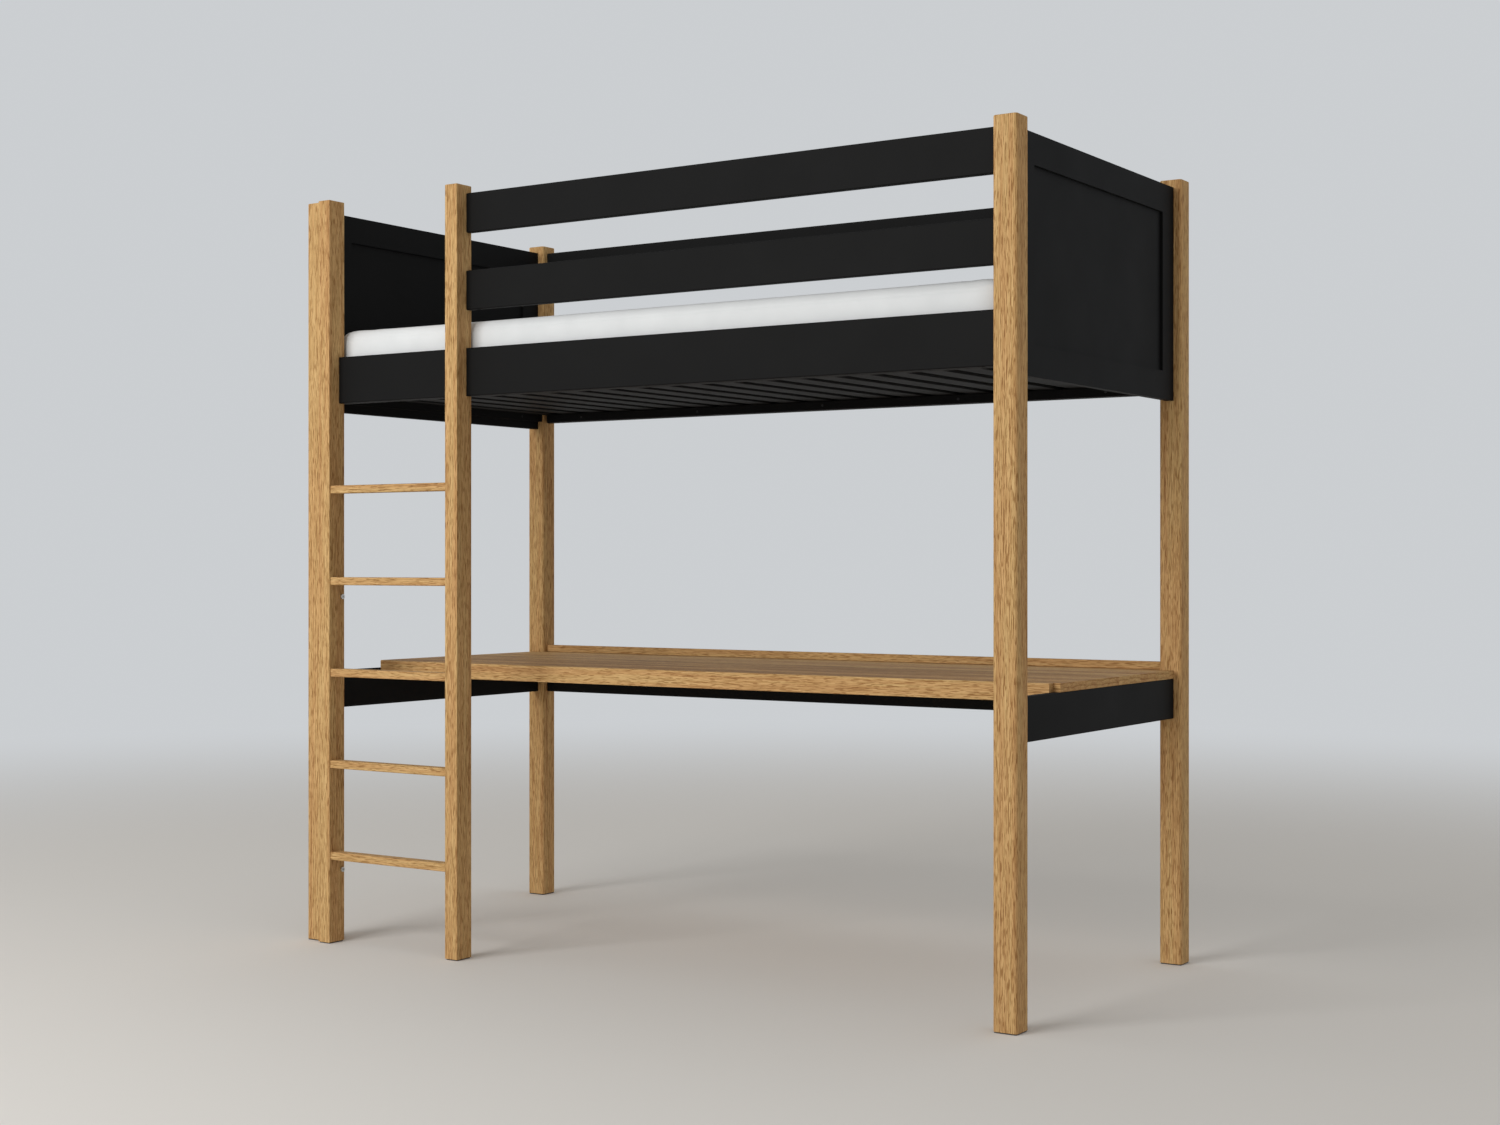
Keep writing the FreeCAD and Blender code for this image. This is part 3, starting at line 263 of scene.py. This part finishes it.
stave_tone = math_node(staves, "MULTIPLY_ADD", (stave_random, "Value"), 0.16, 0.42)
wire(staves, stave_tone, 0, staves_out, "Tone")
print("oak: staves")


# %%
def oak_material(name, grain, pith, rings=300.0, contrast=0.26, tone=0.5, stave=None):
    """Oak for one piece: grain is its long axis and pith the offset of the log's centre."""
    material, tree, shader = new_material(name)
    coords = add(tree, "ShaderNodeTexCoord")
    turn = {"Z": (0, 0, 0), "X": (0, -math.pi / 2, 0)}[grain]
    mapping = add(tree, "ShaderNodeMapping", Rotation=turn, Location=pith)
    wire(tree, coords, "Object", mapping, "Vector")
    grain_node = add(tree, "ShaderNodeGroup", {"node_tree": oak}, Rings=rings, Tone=tone)
    grain_node.inputs["Ring Contrast"].default_value = contrast
    if stave:
        glued = add(tree, "ShaderNodeGroup", {"node_tree": staves}, Width=stave)
        wire(tree, mapping, "Vector", glued, "Vector")
        wire(tree, glued, "Vector", grain_node, "Vector")
        wire(tree, glued, "Tone", grain_node, "Tone")
    else:
        wire(tree, mapping, "Vector", grain_node, "Vector")
    bump = add(tree, "ShaderNodeBump", Strength=0.35, Distance=0.0004)
    wire(tree, grain_node, "Height", bump, "Height")
    wire(tree, grain_node, "Color", shader, "Base Color")
    wire(tree, grain_node, "Roughness", shader, "Roughness")
    wire(tree, bump, "Normal", shader, "Normal")
    shader.inputs["Specular IOR Level"].default_value = 0.12
    return material


OAK_PIECES = {
    "post_front_left": ("Z", (1.10, 0.62, 0.3)),
    "post_front_right": ("Z", (-0.93, 0.58, 1.7)),
    "post_back_left": ("Z", (1.12, -0.40, 3.1)),
    "post_back_right": ("Z", (-1.11, -0.38, 4.4)),
    "ladder_stile_left": ("Z", (0.90, 0.55, 6.0)),
    "ladder_stile_right": ("Z", (0.60, 0.59, 7.9)),
    "ladder_rung_1": ("X", (-0.10, 0.56, 0.9)),
    "ladder_rung_2": ("X", (-0.60, 0.42, 2.2)),
    "ladder_rung_3": ("X", (-0.60, 0.57, 3.5)),
    "ladder_rung_4": ("X", (-1.10, 0.40, 4.6)),
    "ladder_rung_5": ("X", (-1.10, 0.55, 5.8)),
    "desk_lipping": ("X", (-0.62, 0.29, 8.2)),
    "desk_upstand": ("X", (-0.66, -0.53, 9.5)),
}


def finish_node(name, material):
    """Give a CAD node one material."""
    mesh = nodes[name].data
    mesh.materials.clear()
    mesh.materials.append(material)


for name, (grain, pith) in OAK_PIECES.items():
    finish_node(name, oak_material(f"oak_{name}", grain, pith))
finish_node("desk_top", oak_material("oak_desk_top", "X", (-0.735, 0.02, 7.0), rings=90.0,
                                     contrast=0.6, stave=0.062))
print(f"{len(OAK_PIECES) + 1} oak pieces")

# %% [markdown]
# ## Black paint
#
# Sprayed satin paint on wood: near black, with a very fine orange peel and a slow change in
# gloss.

# %%
paint, tree, shader = new_material("black_satin_paint")
coords = add(tree, "ShaderNodeTexCoord")
peel = add(tree, "ShaderNodeTexNoise", Scale=900.0, Detail=1.0)
wire(tree, coords, "Object", peel, "Vector")
slow = add(tree, "ShaderNodeTexNoise", Scale=7.0, Detail=3.0)
wire(tree, coords, "Object", slow, "Vector")
gloss = math_node(tree, "MULTIPLY_ADD", (slow, "Fac"), 0.10, 0.57)
wire(tree, gloss, 0, shader, "Roughness")
bump = add(tree, "ShaderNodeBump", Strength=0.12, Distance=0.0002)
wire(tree, peel, "Fac", bump, "Height")
wire(tree, bump, "Normal", shader, "Normal")
shader.inputs["Base Color"].default_value = (0.0062, 0.0062, 0.0063, 1)
shader.inputs["Specular IOR Level"].default_value = 0.09

PAINTED = [row["node"] for row in frame["record"]["subparts"] if row["material_slot"] == "black_painted_wood"]
for name in PAINTED:
    finish_node(name, paint)
print(f"{len(PAINTED)} painted pieces")

# %% [markdown]
# ## Small parts
#
# Zinc-plated steel for the fixings, bare beech for the dowels and dark plastic for the glides.

# %%
def plain_material(name, colour, roughness, metallic=0.0, speckle=0.0, scale=600.0):
    """A plain finish with a little unevenness in its roughness."""
    material, tree, shader = new_material(name)
    coords = add(tree, "ShaderNodeTexCoord")
    noise = add(tree, "ShaderNodeTexNoise", Scale=scale, Detail=2.0)
    wire(tree, coords, "Object", noise, "Vector")
    uneven = math_node(tree, "MULTIPLY_ADD", (noise, "Fac"), speckle, roughness - speckle / 2)
    wire(tree, uneven, 0, shader, "Roughness")
    shader.inputs["Base Color"].default_value = (*colour, 1)
    shader.inputs["Metallic"].default_value = metallic
    return material


SMALL = {
    "zinc_steel": plain_material("zinc_plated_steel", (0.62, 0.62, 0.60), 0.32, 1.0, 0.12),
    "black_screw": plain_material("black_phosphated_steel", (0.03, 0.03, 0.03), 0.45, 0.6, 0.10),
    "beech_dowel": plain_material("turned_beech", (0.60, 0.43, 0.27), 0.60, 0.0, 0.10),
    "glide_plastic": plain_material("glide_plastic", (0.03, 0.03, 0.03), 0.55, 0.0, 0.10),
}
for row in frame["record"]["subparts"]:
    if row["material_slot"] in SMALL:
        finish_node(row["node"], SMALL[row["material_slot"]])
print("small parts finished")

# %% [markdown]
# ## Mattress
#
# The mattress is a foam block in a sewn stretch cover.  Foam pushes the cover out between its
# seams, so the top is crowned and the border bulges a little, and only the underside is flat, where
# it lies on the slats.  A cloth simulation with inner pressure draws exactly that.  It starts from
# a block that is a few millimetres too small, with rounded upright corners and rounded edges.

# %%
low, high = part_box("mattress")
GAP = 0.004
CROWN = 0.003
ROUNDING = 0.026
foam_low = low + Vector((GAP, GAP, 0.0005))
foam_high = high - Vector((GAP, GAP, CROWN))

bm = bmesh.new()
bmesh.ops.create_cube(bm, size=1.0)
bmesh.ops.scale(bm, vec=foam_high - foam_low, verts=bm.verts)
bmesh.ops.translate(bm, vec=(foam_low + foam_high) / 2, verts=bm.verts)
upright = [edge for edge in bm.edges if abs(edge.verts[0].co.z - edge.verts[1].co.z) > 0.01]
bmesh.ops.bevel(bm, geom=upright, offset=0.056, offset_type="OFFSET", segments=12, profile=0.5,
                affect="EDGES", material=-1)
outline = [edge for edge in bm.edges if abs(edge.verts[0].co.z - edge.verts[1].co.z) < 1e-6]
bmesh.ops.bevel(bm, geom=outline, offset=ROUNDING, offset_type="OFFSET", segments=8, profile=0.5,
                affect="EDGES", material=-1)
block_mesh = bpy.data.meshes.new("foam_block")
bm.to_mesh(block_mesh)
bm.free()
block = bpy.data.objects.new("foam_block", block_mesh)
bpy.context.scene.collection.objects.link(block)
print("foam block", [round(value, 3) for value in block.dimensions])

# %% [markdown]
# A voxel remesh turns the block into even quads of 14 mm, which cloth needs.  The two seam lines,
# where the top and bottom panels are sewn to the border, and the underside are held by a pin group.

# %%
SEAM_HEIGHTS = (foam_low.z + ROUNDING, foam_high.z - ROUNDING)


def evaluated_mesh(holder, name):
    """The holder's mesh with its modifiers applied, under a new name."""
    made = bpy.data.meshes.new_from_object(holder.evaluated_get(bpy.context.evaluated_depsgraph_get()))
    made.name = name
    return made


voxels = block.modifiers.new("voxels", "REMESH")
voxels.mode = "VOXEL"
voxels.voxel_size = 0.0142
cover_mesh = evaluated_mesh(block, "mattress_soft")
bpy.data.objects.remove(block)
mattress = bpy.data.objects.new("mattress_soft", cover_mesh)
bpy.context.scene.collection.objects.link(mattress)
sewn = mattress.vertex_groups.new(name="sewn")
for vertex in cover_mesh.vertices:
    off_seam = min(abs(vertex.co.z - height) for height in SEAM_HEIGHTS)
    hold = 1.0 if vertex.co.z < foam_low.z + 0.004 else max(0.0, 1.0 - off_seam / 0.016)
    if hold > 0:
        sewn.add([vertex.index], hold, "REPLACE")
print(f"cover: {len(cover_mesh.vertices)} vertices before the simulation")

# %% [markdown]
# The pressure swells the cover for twenty frames.  Foam is far stiffer than air, so each point then
# keeps only a limited share of its movement, and the cover stays inside the block it replaces.

# %%
LIMIT = Vector((0.0034, 0.0034, 0.0026))
rest = [vertex.co.copy() for vertex in cover_mesh.vertices]
cloth = mattress.modifiers.new("cover", "CLOTH")
cloth.settings.quality = 5
cloth.settings.mass = 0.4
cloth.settings.tension_stiffness = 25
cloth.settings.compression_stiffness = 25
cloth.settings.shear_stiffness = 10
cloth.settings.bending_stiffness = 2
cloth.settings.use_pressure = True
cloth.settings.uniform_pressure_force = 4
cloth.settings.effector_weights.gravity = 0
cloth.settings.vertex_group_mass = "sewn"
cloth.point_cache.frame_end = 20
for frame_number in range(1, 21):
    bpy.context.scene.frame_set(frame_number)
swollen = evaluated_mesh(mattress, "mattress_swollen")
mattress.modifiers.remove(cloth)
bpy.context.scene.frame_set(1)
moves = []
for vertex, start, end in zip(cover_mesh.vertices, rest, swollen.vertices):
    move = end.co - start
    moves.append(move.length)
    for axis in range(3):
        share = LIMIT[axis] / (LIMIT[axis] + abs(move[axis]))
        vertex.co[axis] = start[axis] + move[axis] * share
bpy.data.meshes.remove(swollen)
print(f"cover swelled by up to {max(moves) * 1000:.1f} mm, kept under {LIMIT.z * 1000:.1f} mm")

# %% [markdown]
# One subdivision smooths the quads.  Then planes cut clean loops beside each seam line, and the
# points on them are drawn in as the thread does, a little more at every stitch pucker.

# %%
smoother = mattress.modifiers.new("smooth", "SUBSURF")
smoother.levels = 1
smoother.render_levels = 1
finished = evaluated_mesh(mattress, "mattress_soft")
mattress.modifiers.remove(smoother)
bm = bmesh.new()
bm.from_mesh(finished)
for height in SEAM_HEIGHTS:
    for step in (-0.0045, -0.0022, 0.0, 0.0022, 0.0045):
        geometry = bm.verts[:] + bm.edges[:] + bm.faces[:]
        bmesh.ops.bisect_plane(bm, geom=geometry, dist=1e-5, plane_co=(0, 0, height + step),
                               plane_no=(0, 0, 1))
beside = [vertex for vertex in bm.verts
          if min(abs(vertex.co.z - height) for height in SEAM_HEIGHTS) < 0.012]
bmesh.ops.remove_doubles(bm, verts=beside, dist=0.0008)
bm.normal_update()
SEAM_DEPTH = 0.0010
for vertex in bm.verts:
    off_seam = min(abs(vertex.co.z - height) for height in SEAM_HEIGHTS)
    if off_seam < 0.009:
        pucker = 0.9 + 0.1 * math.sin(190 * (vertex.co.x + vertex.co.y))
        vertex.co -= vertex.normal * SEAM_DEPTH * pucker * math.exp(-((off_seam / 0.0024) ** 2))
    vertex.co.z = max(vertex.co.z, low.z + 0.0004)
bm.to_mesh(finished)
bm.free()
mattress.data = finished
bpy.data.meshes.remove(cover_mesh)
for face in finished.polygons:
    face.use_smooth = True
print(f"mattress: {len(finished.vertices)} vertices, {len(finished.polygons)} faces")

# %% [markdown]
# The cover is a pale stretch knit.  A fine weave bump and a little sheen keep it from looking like
# plastic.

# %%
cover, tree, shader = new_material("mattress_knit")
coords = add(tree, "ShaderNodeTexCoord")
knit = add(tree, "ShaderNodeTexVoronoi", {"feature": "F1"}, Scale=420.0, Randomness=0.25)
wire(tree, coords, "Object", knit, "Vector")
cloud = add(tree, "ShaderNodeTexNoise", Scale=14.0, Detail=4.0)
wire(tree, coords, "Object", cloud, "Vector")
tone = ramp(tree, cloud, "Fac", [(0.3, (0.69, 0.715, 0.735, 1)), (0.7, (0.73, 0.755, 0.775, 1))])
wire(tree, tone, "Color", shader, "Base Color")
weave = math_node(tree, "MULTIPLY_ADD", (cloud, "Fac"), 3.0, (knit, "Distance"))
bump = add(tree, "ShaderNodeBump", Strength=0.25, Distance=0.0005)
wire(tree, weave, 0, bump, "Height")
wire(tree, bump, "Normal", shader, "Normal")
shader.inputs["Roughness"].default_value = 0.9
shader.inputs["Specular IOR Level"].default_value = 0.2
shader.inputs["Sheen Weight"].default_value = 0.15
shader.inputs["Sheen Roughness"].default_value = 0.5
finished.materials.clear()
finished.materials.append(cover)
finish_node("mattress", cover)
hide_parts("mattress")
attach(mattress, "mattress")
print("mattress in place of its CAD block")

# %% [markdown]
# ## Floor, light and camera

# %%
floor_mesh = bpy.data.meshes.new("floor")
bm = bmesh.new()
bmesh.ops.create_grid(bm, x_segments=1, y_segments=1, size=40.0)
bm.to_mesh(floor_mesh)
bm.free()
floor = bpy.data.objects.new("floor", floor_mesh)
bpy.context.scene.collection.objects.link(floor)
BACKDROP = (0.60, 0.62, 0.64, 1)
material, tree, shader = new_material("pale_floor")
shader.inputs["Base Color"].default_value = (0.74, 0.73, 0.71, 1)
shader.inputs["Roughness"].default_value = 0.9
shader.inputs["Specular IOR Level"].default_value = 0.2
floor_mesh.materials.append(material)

# %% [markdown]
# Far from the bed the floor fades into the colour of the backdrop, so that no hard horizon crosses
# the picture.  Light Path keeps that fade for rays that look, and not for rays that light.

# %%
coords = add(tree, "ShaderNodeTexCoord")
reach = add(tree, "ShaderNodeVectorMath", {"operation": "LENGTH"})
wire(tree, coords, "Object", reach, 0)
far = add(tree, "ShaderNodeMapRange", {"interpolation_type": "SMOOTHSTEP"})
far.inputs["From Min"].default_value = 2.2
far.inputs["From Max"].default_value = 8.0
wire(tree, reach, "Value", far, "Value")


def looking_rays(tree):
    """1 for camera, glossy and transmission rays, and 0 for the rays that carry light."""
    path = add(tree, "ShaderNodeLightPath")
    first = math_node(tree, "MAXIMUM", (path, "Is Camera Ray"), (path, "Is Glossy Ray"))
    return math_node(tree, "MAXIMUM", (first, 0), (path, "Is Transmission Ray"))


haze = add(tree, "ShaderNodeEmission", Color=BACKDROP, Strength=1.0)
fade = math_node(tree, "MULTIPLY", (far, "Result"), (looking_rays(tree), 0))
floor_mix = add(tree, "ShaderNodeMixShader")
wire(tree, fade, 0, floor_mix, 0)
wire(tree, shader, 0, floor_mix, 1)
wire(tree, haze, 0, floor_mix, 2)
wire(tree, floor_mix, 0, tree.nodes["Material Output"], "Surface")

world = bpy.data.worlds.new("studio")
bpy.context.scene.world = world
world.use_nodes = True
tree = world.node_tree
ambient = tree.nodes["Background"]
ambient.inputs["Color"].default_value = (1.0, 0.97, 0.93, 1)
ambient.inputs["Strength"].default_value = 0.52
backdrop = add(tree, "ShaderNodeBackground", Color=BACKDROP, Strength=1.0)
choose = add(tree, "ShaderNodeMixShader")
wire(tree, looking_rays(tree), 0, choose, 0)
wire(tree, ambient, 0, choose, 1)
wire(tree, backdrop, 0, choose, 2)
wire(tree, choose, 0, tree.nodes["World Output"], "Surface")
print("floor and backdrop")


# %% [markdown]
# One large soft lamp stands low at the front left, like a window.  Its low height leaves the desk
# top darker than the faces of the posts.

# %%
def area_light(name, place, aim, size, power, colour=(1, 1, 1)):
    """A soft square light at place, turned towards aim."""
    light = bpy.data.lights.new(name, "AREA")
    light.shape = "SQUARE"
    light.size = size
    light.energy = power
    light.color = colour
    holder = bpy.data.objects.new(name, light)
    holder.location = place
    holder.rotation_euler = (Vector(aim) - Vector(place)).to_track_quat("-Z", "Y").to_euler()
    bpy.context.scene.collection.objects.link(holder)
    return holder


area_light("key", (-1.6, -6.0, 3.1), (0, 0, 0.9), 3.5, 232, (1.0, 0.99, 0.97))

camera_data = bpy.data.cameras.new("camera")
camera_data.lens = 50.36
camera_data.sensor_width = 36.0
camera = bpy.data.objects.new("camera", camera_data)
camera.location = (3.010, -4.515, 1.0045)
camera.rotation_euler = (math.pi / 2, 0, math.radians(33.243))
bpy.context.scene.collection.objects.link(camera)
bpy.context.scene.camera = camera
bpy.context.scene.view_settings.view_transform = "Standard"
print("floor, lights and camera placed")
